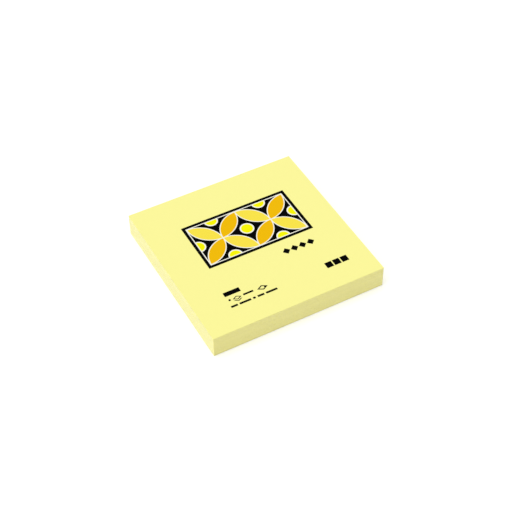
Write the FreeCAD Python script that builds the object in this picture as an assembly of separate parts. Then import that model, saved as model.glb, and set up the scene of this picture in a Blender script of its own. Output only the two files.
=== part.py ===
import FreeCAD, Part
import math
import os

# Sticky note pad: one hundred plain paper notes held together by a strip of
# low-tack adhesive along the head edge of each note's underside. A printed
# cover sheet closes the top, and a release-coated backing sheet under the last
# note keeps its adhesive clean. The whole pad is cut square in one stack, so
# all the sheets share one outline and show their cut edges on the four sides.
#
# Frame: origin in the middle of the underside, +X to the reader's right,
# +Y from the foot towards the glued head edge, +Z up. Sizes in millimetres.

# The pad's outline, as the guillotine cuts it
pad_width = 76.0
pad_depth = 76.0

# The sheets
note_count = 100
note_thickness = 0.097
cover_thickness = 0.10
backing_thickness = 0.15

# The adhesive strip, and the bare paper beside it at the head and the sides
strip_depth = 19.0
strip_thickness = 0.02
strip_margin = 0.5

# How far a note's cut edge may lie behind the side of the pad. The glued head
# edge holds its notes in line better than the three free edges do.
head_edge_play = 0.03
free_edge_play = 0.07

# The spread of the notes' edges within that play: a share that changes from
# each note to the next, and a share that drifts slowly up the stack
next_note_share = 0.65
drift_share = 1 - next_note_share
golden_ratio = (math.sqrt(5) - 1) / 2
notes_per_drift = 23

# The pad's sides. Each starts elsewhere in that spread, so no two show the same steps.
sides = ["left", "right", "foot", "head"]

# Heights of the layers above the table, from the bottom up
backing_top = backing_thickness
last_note_bottom = backing_top + strip_thickness
first_note_top = last_note_bottom + note_count * note_thickness
cover_bottom = first_note_top + strip_thickness


def flat_sheet(left, right, foot, head, bottom, thickness):
    """A square-cornered sheet between its four cut edges, lying at a height."""
    corners = [
        FreeCAD.Vector(left, foot, bottom),
        FreeCAD.Vector(right, foot, bottom),
        FreeCAD.Vector(right, head, bottom),
        FreeCAD.Vector(left, head, bottom),
    ]
    outline = Part.makePolygon(corners + corners[:1])
    return Part.Face(outline).extrude(FreeCAD.Vector(0, 0, thickness))


def full_sheet(bottom, thickness):
    """A sheet that fills the pad's outline, such as the cover or the backing."""
    return flat_sheet(-pad_width / 2, pad_width / 2, -pad_depth / 2, pad_depth / 2, bottom, thickness)


def setback(note, side):
    """How far the edge of one note lies behind that side of the pad."""
    play = head_edge_play if side == "head" else free_edge_play
    side_start = sides.index(side) / len(sides)
    next_note_part = (note * golden_ratio + side_start) % 1
    drift_turn = 2 * math.pi * (note / notes_per_drift + side_start)
    drift_part = (1 + math.sin(drift_turn)) / 2
    return play * (next_note_share * next_note_part + drift_share * drift_part)


def note_block():
    """All the notes as one solid, with the step of every note on all four sides."""
    notes = []
    for note in range(note_count):
        notes.append(
            flat_sheet(
                -pad_width / 2 + setback(note, "left"),
                pad_width / 2 - setback(note, "right"),
                -pad_depth / 2 + setback(note, "foot"),
                pad_depth / 2 - setback(note, "head"),
                last_note_bottom + note * note_thickness,
                note_thickness,
            )
        )
    return notes[0].multiFuse(notes[1:]).removeSplitter()


def adhesive_strip(bottom):
    """The coated strip along the head edge, under one sheet."""
    head = pad_depth / 2 - strip_margin
    return flat_sheet(
        -pad_width / 2 + strip_margin,
        pad_width / 2 - strip_margin,
        head - strip_depth,
        head,
        bottom,
        strip_thickness,
    )


def one_solid(shape):
    """The single closed solid in a shape."""
    (solid,) = shape.Solids
    return solid


pieces = {
    "backing_sheet": full_sheet(0, backing_thickness),
    "last_note_adhesive_strip": adhesive_strip(backing_top),
    "note_sheets": note_block(),
    "cover_adhesive_strip": adhesive_strip(first_note_top),
    "cover_sheet": full_sheet(cover_bottom, cover_thickness),
}

os.makedirs("parts", exist_ok=True)
for name, shape in pieces.items():
    one_solid(shape).exportStep(os.path.join("parts", name + ".step"))
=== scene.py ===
"""The looks of a sticky note pad: its paper, the print on its cover, the light and the camera."""

import math

import bmesh
import bpy
from mathutils import Matrix, Vector, noise


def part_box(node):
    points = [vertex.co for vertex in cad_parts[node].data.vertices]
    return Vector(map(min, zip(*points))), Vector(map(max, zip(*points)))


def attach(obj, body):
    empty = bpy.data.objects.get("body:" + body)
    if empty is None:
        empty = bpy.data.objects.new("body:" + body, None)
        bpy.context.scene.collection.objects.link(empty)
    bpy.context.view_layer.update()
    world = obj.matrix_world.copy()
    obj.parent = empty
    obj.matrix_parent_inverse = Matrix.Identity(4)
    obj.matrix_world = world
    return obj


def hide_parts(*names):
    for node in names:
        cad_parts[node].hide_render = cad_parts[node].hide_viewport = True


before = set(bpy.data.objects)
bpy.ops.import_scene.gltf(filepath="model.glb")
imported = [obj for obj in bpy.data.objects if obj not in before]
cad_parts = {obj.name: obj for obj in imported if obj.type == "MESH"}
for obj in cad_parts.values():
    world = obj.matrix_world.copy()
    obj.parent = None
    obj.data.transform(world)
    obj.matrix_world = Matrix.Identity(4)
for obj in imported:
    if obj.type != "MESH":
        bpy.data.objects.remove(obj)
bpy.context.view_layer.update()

# Lengths are worked out in millimetres, and Blender's unit is the metre
mm = 0.001

# Colours, as the shares of red, green and blue light that they send back
cover_yellow = (0.966, 0.926, 0.329)
edge_yellow = (0.968, 0.889, 0.255)
fibre_sheen = (0.92, 1.0, 1.0)
# The next colour is painted shade, for the narrow gaps between the notes
painted_gap_shade = (0.25, 0.21, 0.04)
backing_cream = (0.86, 0.83, 0.62)
glue_cream = (0.86, 0.84, 0.62)
amber_ink = (0.939, 0.768, 0.070)
bright_yellow_ink = (0.925, 0.900, 0.002)
orange_ink = (0.871, 0.497, 0.003)
white_ink = (0.93, 0.92, 0.80)
black_ink = (0.0008, 0.0008, 0.0008)
floor_white = (0.86, 0.86, 0.86)


class Number:
    """A number that changes over a surface. Python's operators on it add Math nodes."""

    def __init__(self, nodes, socket):
        self.nodes = nodes
        self.socket = socket

    def math(self, operation, *values):
        return self.nodes.math(operation, self, *values)

    def __add__(self, other):
        return self.nodes.math("ADD", self, other)

    def __radd__(self, other):
        return self.nodes.math("ADD", other, self)

    def __sub__(self, other):
        return self.nodes.math("SUBTRACT", self, other)

    def __rsub__(self, other):
        return self.nodes.math("SUBTRACT", other, self)

    def __mul__(self, other):
        return self.nodes.math("MULTIPLY", self, other)

    def __rmul__(self, other):
        return self.nodes.math("MULTIPLY", other, self)

    def __truediv__(self, other):
        return self.nodes.math("DIVIDE", self, other)

    def __lt__(self, other):
        return self.nodes.math("LESS_THAN", self, other)

    def __gt__(self, other):
        return self.nodes.math("GREATER_THAN", self, other)

    def __abs__(self):
        return self.nodes.math("ABSOLUTE", self)


class Nodes:
    """The nodes of one material or of the world."""

    def __init__(self, tree):
        self.tree = tree
        tree.nodes.clear()

    def add(self, kind, settings=None, inputs=None):
        """A new node, with its settings made first and then a value or a link for each socket."""
        node = self.tree.nodes.new(kind)
        for name, value in (settings or {}).items():
            if name == "stops":
                self.set_stops(node.color_ramp, value)
            else:
                setattr(node, name, value)
        for name, value in (inputs or {}).items():
            if isinstance(value, Number):
                value = value.socket
            if isinstance(value, bpy.types.NodeSocket):
                self.tree.links.new(value, node.inputs[name])
            else:
                node.inputs[name].default_value = value
        return node

    def set_stops(self, ramp, stops):
        """A ramp of flat steps: each stop is a place from 0 to 1 and the colour from there on."""
        ramp.interpolation = "CONSTANT"
        while len(ramp.elements) < len(stops):
            ramp.elements.new(1)
        for element, (place, colour) in zip(ramp.elements, stops):
            element.position = place
            element.color = (*colour, 1)

    def number(self, kind, output, settings=None, inputs=None):
        """One output of a new node, as a number."""
        return Number(self, self.add(kind, settings, inputs).outputs[output])

    def math(self, operation, *values):
        return self.number("ShaderNodeMath", 0, {"operation": operation}, dict(enumerate(values)))

    def mixed(self, share, first, second, blend="MIX"):
        """A colour between two colours."""
        settings = {"data_type": "RGBA", "blend_type": blend}
        # The node's colour sockets come after those of its other data types
        inputs = {0: share, 6: self.colour(first), 7: self.colour(second)}
        return self.add("ShaderNodeMix", settings, inputs).outputs[2]

    def colour(self, value):
        """A colour with its opacity. A socket stays as it is."""
        return (*value, 1) if isinstance(value, tuple) else value

    def places(self):
        """The coordinates of a point of the piece in millimetres, as one vector and as three numbers."""
        place = self.add("ShaderNodeTexCoord").outputs["Object"]
        scaled = self.add("ShaderNodeVectorMath", {"operation": "SCALE"}, {0: place, "Scale": 1 / mm})
        split = self.add("ShaderNodeSeparateXYZ", None, {0: scaled.outputs[0]})
        return scaled.outputs[0], [Number(self, socket) for socket in split.outputs]

    def stretched(self, vector, scale):
        """A vector with each of its coordinates scaled by itself."""
        node = self.add("ShaderNodeVectorMath", {"operation": "MULTIPLY"}, {0: vector, 1: scale})
        return node.outputs[0]

    def noise(self, vector, per_mm, detail):
        """Soft noise from 0 to 1, with a number of blotches in each millimetre."""
        inputs = {"Vector": vector, "Scale": per_mm, "Detail": detail}
        return self.number("ShaderNodeTexNoise", "Fac", None, inputs)

    def random(self, number):
        """A random number from 0 to 1 that stays the same for the same number."""
        return self.number("ShaderNodeTexWhiteNoise", "Value", {"noise_dimensions": "1D"}, {"W": number})


def new_finish(name):
    """A new material and its nodes."""
    material = bpy.data.materials.new(name)
    material.use_nodes = True
    return material, Nodes(material.node_tree)


def give_surface(nodes, inputs):
    """Ends a material with a Principled shader."""
    shader = nodes.add("ShaderNodeBsdfPrincipled", None, inputs)
    nodes.add("ShaderNodeOutputMaterial", None, {"Surface": shader.outputs[0]})


def relief(nodes, height, depth_mm):
    """Normals for a height from 0 to 1 that is this deep."""
    inputs = {"Height": height, "Strength": 1.0, "Distance": depth_mm * mm}
    return nodes.add("ShaderNodeBump", None, inputs).outputs["Normal"]


def toned(nodes, colour, *spreads):
    """A colour made lighter and darker by noises, each with the share of the colour that it spreads over."""
    tone = 1.0
    for noises, spread in spreads:
        tone = (noises - 0.5) * spread + tone
    grey = nodes.add("ShaderNodeCombineXYZ", None, {0: tone, 1: tone, 2: tone}).outputs[0]
    return nodes.mixed(1.0, colour, grey, "MULTIPLY")


# Print on the cover. Every place and size is in millimetres on the cover's face,
# from its middle, and a height is how far towards the head edge something lies.

# The panel: a pattern of overlapping circles inside a black frame. Each two
# neighbouring circles share a petal, and each circle keeps a four-pointed star.
panel_centre_x = 1.2
panel_centre_y = 7.8
circle_radius = 11.0
pattern_half_width = 2 * circle_radius
pattern_half_height = circle_radius
frame_line = 1.35
white_line = 0.42

# The dot in the middle of each star, and the ring round it, as shares of the circle's radius
star_dot = 0.22
star_ring = 0.27

# A row of small diamonds under the panel
diamonds_left = 7.1
diamonds_right = 21.9
diamonds_height = -11.2
diamond_count = 4
diamond_pitch = (diamonds_right - diamonds_left) / diamond_count
diamond_size = 1.7

# Bold squares in the corner
squares_left = 18.5
squares_height = -25.9
square_count = 3
square_size = 3.0
square_gap = 0.5

# Ruled bars: the height of the line's middle, its thickness and where its bars begin and end
ruled_lines = [
    (-20.2, 2.2, [(-24.2, -17.2)]),
    (-23.5, 0.9, [(-23.8, -22.9), (-17.4, -13.0)]),
    (-27.0, 1.0, [(-24.5, -21.6), (-20.8, -15.8), (-14.9, -13.8), (-12.9, -10.0), (-9.2, -4.2)]),
]

# Small pictures of a pad and of a sheet, drawn as rhombuses: their middles and half their sizes
pad_picture = Vector((-20.2, -23.7))
pad_picture_reach = Vector((1.55, 0.82))
pad_picture_line = 0.42
pad_picture_thickness = 0.85
sheet_picture = Vector((-9.05, -23.8))
sheet_picture_reach = Vector((1.85, 1.0))
sheet_picture_line = 0.55
turned_corner = 1.1

# How far the ink's outlines wander
ink_bleed = 0.03


def distance(x, y):
    return (x * x + y * y).math("SQRT")


def rectangle(x, y, left, right, middle, thickness):
    """A mask of 1 inside a bar."""
    along = x.math("COMPARE", (left + right) / 2, (right - left) / 2)
    across = y.math("COMPARE", middle, thickness / 2)
    return along * across


def rhombus_depth(x, y, middle, reach):
    """0 at the middle of a rhombus, 1 on its outline and more outside."""
    return abs(x - middle.x) / reach.x + abs(y - middle.y) / reach.y


def rhombus_outline(x, y, middle, reach, line):
    line_share = line / reach.y
    return rhombus_depth(x, y, middle, reach).math("COMPARE", 1.0, line_share / 2)


def pad_picture_mask(x, y):
    """A pad seen from a corner: a rhombus, with its lower edges again below it."""
    top = rhombus_outline(x, y, pad_picture, pad_picture_reach, pad_picture_line)
    lowered = y + pad_picture_thickness
    lower = rhombus_outline(x, lowered, pad_picture, pad_picture_reach, pad_picture_line)
    return top.math("MAXIMUM", lower * (lowered < pad_picture.y))


def sheet_picture_mask(x, y):
    """A single sheet seen from a corner, with its far corner turned up."""
    outline = rhombus_outline(x, y, sheet_picture, sheet_picture_reach, sheet_picture_line)
    inside = rhombus_depth(x, y, sheet_picture, sheet_picture_reach) < 1.0
    turned_line = sheet_picture.x + sheet_picture_reach.x - turned_corner
    return outline.math("MAXIMUM", inside * (x > turned_line))


def black_marks(x, y):
    """A mask of all the small marks in black ink."""
    mask = pad_picture_mask(x, y).math("MAXIMUM", sheet_picture_mask(x, y))
    for middle, thickness, bars in ruled_lines:
        for left, right in bars:
            mask = mask + rectangle(x, y, left, right, middle, thickness)
    for square in range(square_count):
        left = squares_left + square * (square_size + square_gap)
        mask = mask + rectangle(x, y, left, left + square_size, squares_height, square_size)
    return mask.math("MAXIMUM", diamond_row(x, y))


def diamond_row(x, y):
    """A mask of the row. A diamond is where the distances across and up add up to less than its size."""
    along = (x - diamonds_left).math("PINGPONG", diamond_pitch / 2)
    from_middle = diamond_pitch / 2 - along
    diamonds = (from_middle + abs(y - diamonds_height)) < diamond_size
    return diamonds * rectangle(x, y, diamonds_left, diamonds_right, diamonds_height, 2 * diamond_size)


def within(x, y, margin):
    """A mask of 1 over the pattern and a margin round it."""
    across = x.math("COMPARE", 0.0, pattern_half_width + margin)
    up = y.math("COMPARE", 0.0, pattern_half_height + margin)
    return across * up


def circle_pattern(nodes, x, y):
    """The colours of the overlapping circles, for a place measured in circle radii."""
    across = x.math("PINGPONG", 1.0)
    up = y.math("PINGPONG", 1.0)
    to_circle = distance(across, up)
    to_neighbour = distance(1 - across, 1 - up)
    petal = (to_circle < 1) * (to_neighbour < 1)
    nearest = to_circle.math("MINIMUM", to_neighbour)
    stops = [(0, bright_yellow_ink), (star_dot, white_ink), (star_ring, black_ink)]
    star_colour = nodes.add("ShaderNodeValToRGB", {"stops": stops}, {0: nearest}).outputs["Color"]
    turn = (x.math("FLOOR") + y.math("FLOOR")).math("PINGPONG", 1.0)
    petal_colour = nodes.mixed(turn, amber_ink, orange_ink)
    colour = nodes.mixed(petal, star_colour, petal_colour)
    half_line = white_line / circle_radius / 2
    circle_line = to_circle.math("COMPARE", 1.0, half_line)
    neighbour_line = to_neighbour.math("COMPARE", 1.0, half_line)
    return nodes.mixed(circle_line.math("MAXIMUM", neighbour_line), colour, white_ink)


def panel(nodes, x, y):
    """The mask and the colour of the whole panel."""
    x = x - panel_centre_x
    y = y - panel_centre_y
    pattern_place = within(x, y, 0)
    white_place = within(x, y, white_line)
    panel_place = within(x, y, white_line + frame_line)
    frame_colour = nodes.mixed(white_place, black_ink, white_ink)
    pattern = circle_pattern(nodes, x / circle_radius, y / circle_radius)
    return panel_place, nodes.mixed(pattern_place, frame_colour, pattern)


# Paper, ink and glue. A grain is in blotches for each millimetre, a tone is the
# share of its colour that a surface lightens and darkens over, and a relief is
# the depth of its bumps in millimetres.

# The cover is matt paper, and the ink lies on it a little smoother
cover_cloud_grain = 0.35
cover_cloud_tone = 0.012
cover_fibre_grain = 9.0
cover_fibre_tone = 0.02
cover_relief = 0.006
cover_roughness = 0.80
cover_gloss = 0.015
ink_roughness = 0.60
ink_bleed_grain = 6.0

# The cut edges. A stretch is how fast streaks or knife marks change along X, Y and Z.
streak_stretch = (0.12, 0.12, 3.0)
streak_tone = 0.06
knife_stretch = (1.2, 1.2, 0.03)
knife_tone = 0.02
note_tone = 0.04
edge_fibre_grain = 12.0
edge_fibre_tone = 0.03
edge_relief = 0.008
edge_roughness = 0.32
edge_gloss = 0.70
sheen_roughness = 0.50

# The gap between two notes: its width as a share of a note's thickness, and how dark its painted shade is at
# most
gap_share = 0.2
painted_gap_shade_strength = 0.7

# The backing is smooth coated paper
backing_cloud_grain = 0.5
backing_cloud_tone = 0.05
backing_fibre_grain = 7.0
backing_relief = 0.004
backing_roughness = 0.32
backing_roughness_spread = 0.08
backing_gloss = 0.5

# The glue is a thin pebbled coat
pebble_grain = 14.0
pebble_tone = 0.06
glue_relief = 0.01
glue_roughness = 0.45
glue_gloss = 0.5


def printed_cover():
    """Yellow paper with the print on its upper face."""
    material, nodes = new_finish("printed_cover")
    place, (x, y, z) = nodes.places()
    upper_face = z > cover_middle
    cloud = nodes.noise(place, cover_cloud_grain, detail=3.0)
    fibres = nodes.noise(place, cover_fibre_grain, detail=4.0)
    bleed = (nodes.noise(place, ink_bleed_grain, detail=1.0) - 0.5) * (2 * ink_bleed)
    ink_x = x + bleed
    ink_y = y - bleed
    colour = toned(nodes, cover_yellow, (cloud, cover_cloud_tone), (fibres, cover_fibre_tone))
    panel_mask, panel_colour = panel(nodes, ink_x, ink_y)
    panel_mask = panel_mask * upper_face
    colour = nodes.mixed(panel_mask, colour, panel_colour)
    marks = black_marks(ink_x, ink_y) * upper_face
    colour = nodes.mixed(marks, colour, black_ink)
    inked = panel_mask.math("MAXIMUM", marks)
    give_surface(
        nodes,
        {
            "Base Color": colour,
            "Roughness": cover_roughness + inked * (ink_roughness - cover_roughness),
            "Specular IOR Level": cover_gloss,
            "Normal": relief(nodes, fibres, cover_relief),
        },
    )
    return material


def cut_edges():
    """The cut edges: a tone for each note, painted shade in the gaps between the notes, faint streaks and
    knife marks.
    """
    material, nodes = new_finish("cut_note_edges")
    place, (_, _, z) = nodes.places()
    note = (z - notes_foot) / note_thickness
    gap = note.math("ROUND")
    streaks = nodes.noise(nodes.stretched(place, streak_stretch), per_mm=1.0, detail=3.0)
    knife = nodes.noise(nodes.stretched(place, knife_stretch), per_mm=1.0, detail=2.0)
    fibres = nodes.noise(place, edge_fibre_grain, detail=3.0)
    in_gap = abs(note - gap) < gap_share / 2
    # A gap's number lies halfway between two notes', so that its painted shade has a strength of its own
    painted_gap_shade_share = in_gap * nodes.random(gap + 0.5) * streaks * painted_gap_shade_strength
    colour = toned(
        nodes,
        edge_yellow,
        (nodes.random(note.math("FLOOR")), note_tone),
        (streaks, streak_tone),
        (knife, knife_tone),
        (fibres, edge_fibre_tone),
    )
    give_surface(
        nodes,
        {
            # Painted shade darkens the colour in the gaps between the notes
            "Base Color": nodes.mixed(painted_gap_shade_share, colour, painted_gap_shade),
            "Roughness": edge_roughness,
            "Specular IOR Level": edge_gloss,
            "Sheen Weight": 1.0,
            "Sheen Tint": nodes.colour(fibre_sheen),
            "Sheen Roughness": sheen_roughness,
            "Normal": relief(nodes, fibres, edge_relief),
        },
    )
    return material


def backing_paper():
    """Smooth release-coated paper, with a faint cloudiness under its coat."""
    material, nodes = new_finish("release_coated_backing")
    place, _ = nodes.places()
    cloud = nodes.noise(place, backing_cloud_grain, detail=4.0)
    fibres = nodes.noise(place, backing_fibre_grain, detail=3.0)
    give_surface(
        nodes,
        {
            "Base Color": toned(nodes, backing_cream, (cloud, backing_cloud_tone)),
            "Roughness": backing_roughness + fibres * backing_roughness_spread,
            "Specular IOR Level": backing_gloss,
            "Normal": relief(nodes, fibres, backing_relief),
        },
    )
    return material


def tacky_glue():
    """A thin coat of low-tack glue, slightly pebbled."""
    material, nodes = new_finish("low_tack_glue")
    place, _ = nodes.places()
    pebbles = nodes.noise(place, pebble_grain, detail=2.0)
    give_surface(
        nodes,
        {
            "Base Color": toned(nodes, glue_cream, (pebbles, pebble_tone)),
            "Roughness": glue_roughness,
            "Specular IOR Level": glue_gloss,
            "Normal": relief(nodes, pebbles, glue_relief),
        },
    )
    return material


# The block of notes

note_count = 100
notes_low, notes_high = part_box("note_sheets")
cover_low, cover_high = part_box("cover_sheet")
notes_foot = notes_low.z / mm
note_thickness = (notes_high.z - notes_low.z) / mm / note_count
side_length = (cover_high.x - cover_low.x) / mm
cover_middle = (cover_low.z + cover_high.z) / 2 / mm

# How far a note's edge may lie behind the side of the pad, and how that spreads over the notes
head_edge_play = 0.03
free_edge_play = 0.07
next_note_share = 0.65
drift_share = 1 - next_note_share
golden_ratio = (math.sqrt(5) - 1) / 2
notes_per_drift = 23
sides = ["left", "right", "foot", "head"]

# The block's upright corners are slightly rounded. Each note's two edges are
# softened, and they wave along the sides, a little differently on each note.
corner_radius = 0.12
corner_steps = 3
points_along_side = 23
edge_softness = 0.014
edge_wave = 0.012
wave_length = 9.0
wave_change = 0.7


def setback(note, side):
    """How far the edge of one note lies behind that side of the pad."""
    play = head_edge_play if side == "head" else free_edge_play
    side_start = sides.index(side) / len(sides)
    next_note_part = (note * golden_ratio + side_start) % 1
    drift_turn = 2 * math.pi * (note / notes_per_drift + side_start)
    drift_part = (1 + math.sin(drift_turn)) / 2
    return play * (next_note_share * next_note_part + drift_share * drift_part)


def outline_ring(shape):
    """The edges of one note's outline: a square with softened corners and points along its sides."""
    half = side_length / 2
    corners = []
    for across, along in ((-1, -1), (1, -1), (1, 1), (-1, 1)):
        corners.append(shape.verts.new((across * half, along * half, notes_foot)))
    shape.faces.new(corners)
    bmesh.ops.bevel(
        shape,
        geom=shape.verts[:],
        affect="VERTICES",
        offset=corner_radius,
        offset_type="OFFSET",
        segments=corner_steps,
        profile=0.5,
        material=-1,
    )
    long_edges = [edge for edge in shape.edges if edge.calc_length() > half]
    bmesh.ops.subdivide_edges(shape, edges=long_edges, cuts=points_along_side)
    return shape.edges[:]


def raise_ring(shape, ring, rise):
    """A new ring of the wall, above the last one."""
    raised = bmesh.ops.extrude_edge_only(shape, edges=ring)["geom"]
    points = [item for item in raised if isinstance(item, bmesh.types.BMVert)]
    bmesh.ops.translate(shape, verts=points, vec=(0, 0, rise))
    return [item for item in raised if isinstance(item, bmesh.types.BMEdge)], points


def set_edges(points, note, softening):
    """Moves one ring of a note to where the knife left its four edges."""
    half = side_length / 2
    left, right, foot, head = [setback(note, side) + softening for side in sides]
    for point in points:
        x, y = point.co.x, point.co.y
        wave_place = Vector((x / wave_length, y / wave_length, note * wave_change))
        wave = edge_wave * (1 + noise.noise(wave_place))
        across = (x + half) / side_length
        along = (y + half) / side_length
        x += (left + wave) * (1 - across) - (right + wave) * across
        y += (foot + wave) * (1 - along) - (head + wave) * along
        point.co = Vector((x, y, point.co.z))


def note_block():
    """All the notes as one closed wall of softened edges, with a cap above and below."""
    shape = bmesh.new()
    ring = outline_ring(shape)
    rings = [(list(shape.verts), 0, edge_softness)]
    straight = note_thickness - 2 * edge_softness
    for note in range(note_count):
        for rise, softening in ((edge_softness, 0), (straight, 0), (edge_softness, edge_softness)):
            ring, points = raise_ring(shape, ring, rise)
            rings.append((points, note, softening))
    bmesh.ops.contextual_create(shape, geom=ring)
    for points, note, softening in rings:
        set_edges(points, note, softening)
    bmesh.ops.scale(shape, vec=(mm, mm, mm), verts=shape.verts)
    bmesh.ops.recalc_face_normals(shape, faces=shape.faces)
    mesh = bpy.data.meshes.new("note_block")
    shape.to_mesh(mesh)
    shape.free()
    piece = bpy.data.objects.new("note_block", mesh)
    bpy.context.scene.collection.objects.link(piece)
    return piece


def dress(piece, material):
    piece.data.materials.clear()
    piece.data.materials.append(material)


# The camera stands where the photograph was taken from. Angles are in degrees.

camera_azimuth = -28.256
camera_elevation = 46.113
camera_roll = -0.603
camera_distance = 521.3 * mm
camera_target = Vector((1.45, 0.77, 0.0)) * mm
sensor_width = 36.0
focal_length = 89.42
nearest_seen = 10 * mm


def photograph():
    azimuth = math.radians(camera_azimuth)
    elevation = math.radians(camera_elevation)
    roll = math.radians(camera_roll)
    back = Vector(
        (
            math.sin(azimuth) * math.cos(elevation),
            -math.cos(azimuth) * math.cos(elevation),
            math.sin(elevation),
        )
    )
    level = (-back).cross(Vector((0, 0, 1))).normalized()
    upward = back.cross(level)
    right = level * math.cos(roll) + upward * math.sin(roll)
    up = upward * math.cos(roll) - level * math.sin(roll)
    turn = Matrix((right, up, back)).transposed()
    lens = bpy.data.cameras.new("camera")
    lens.sensor_width = sensor_width
    lens.lens = focal_length
    lens.clip_start = nearest_seen
    camera = bpy.data.objects.new("camera", lens)
    camera.matrix_world = Matrix.Translation(camera_target + back * camera_distance) @ turn.to_4x4()
    bpy.context.scene.collection.objects.link(camera)
    bpy.context.scene.camera = camera


# Light: an even pale surround, a broad soft lamp above and one lower down at the left

surround_level = 0.60
high_lamp_direction = Vector((-0.15, 0.10, 1.0))
high_lamp_strength = 1.0
side_lamp_direction = Vector((-0.93, -0.09, 0.36))
side_lamp_strength = 0.86
lamp_spread = 40.0
floor_fill = 0.27
floor_side = 6000 * mm


def seen_directly(nodes):
    """1 where the camera looks, or where gloss or glass show the background."""
    path = nodes.add("ShaderNodeLightPath")
    camera, glossy, through = [
        Number(nodes, path.outputs[name])
        for name in ("Is Camera Ray", "Is Glossy Ray", "Is Transmission Ray")
    ]
    return camera.math("MAXIMUM", glossy).math("MAXIMUM", through)


def surround():
    world = bpy.data.worlds.new("surround")
    bpy.context.scene.world = world
    world.use_nodes = True
    nodes = Nodes(world.node_tree)
    strength = surround_level + seen_directly(nodes) * (1 - surround_level)
    shader = nodes.add("ShaderNodeBackground", None, {"Color": (1, 1, 1, 1), "Strength": strength})
    nodes.add("ShaderNodeOutputWorld", None, {"Surface": shader.outputs[0]})


def soft_lamp(name, direction, strength):
    light = bpy.data.lights.new(name, "SUN")
    light.energy = strength
    light.angle = math.radians(lamp_spread)
    lamp = bpy.data.objects.new(name, light)
    lamp.rotation_mode = "QUATERNION"
    lamp.rotation_quaternion = direction.to_track_quat("Z", "Y")
    bpy.context.scene.collection.objects.link(lamp)


def pale_floor():
    """A white floor that keeps the pad's shadow and shows white where nothing shades it."""
    shape = bmesh.new()
    bmesh.ops.create_grid(shape, x_segments=1, y_segments=1, size=floor_side / 2)
    mesh = bpy.data.meshes.new("floor")
    shape.to_mesh(mesh)
    shape.free()
    floor = bpy.data.objects.new("floor", mesh)
    bpy.context.scene.collection.objects.link(floor)
    material, nodes = new_finish("floor_white")
    matte = nodes.add("ShaderNodeBsdfDiffuse", None, {"Color": nodes.colour(floor_white)})
    fill = nodes.add("ShaderNodeEmission", None, {"Strength": seen_directly(nodes) * floor_fill})
    both = nodes.add("ShaderNodeAddShader", None, {0: matte.outputs[0], 1: fill.outputs[0]})
    nodes.add("ShaderNodeOutputMaterial", None, {"Surface": both.outputs[0]})
    dress(floor, material)


bpy.context.scene.view_settings.view_transform = "Standard"

glue = tacky_glue()
dress(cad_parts["cover_sheet"], printed_cover())
dress(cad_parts["cover_adhesive_strip"], glue)
dress(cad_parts["last_note_adhesive_strip"], glue)
dress(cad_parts["backing_sheet"], backing_paper())

notes = note_block()
dress(notes, cut_edges())
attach(notes, "root")
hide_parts("note_sheets")

photograph()
surround()
soft_lamp("high_lamp", high_lamp_direction, high_lamp_strength)
soft_lamp("side_lamp", side_lamp_direction, side_lamp_strength)
pale_floor()
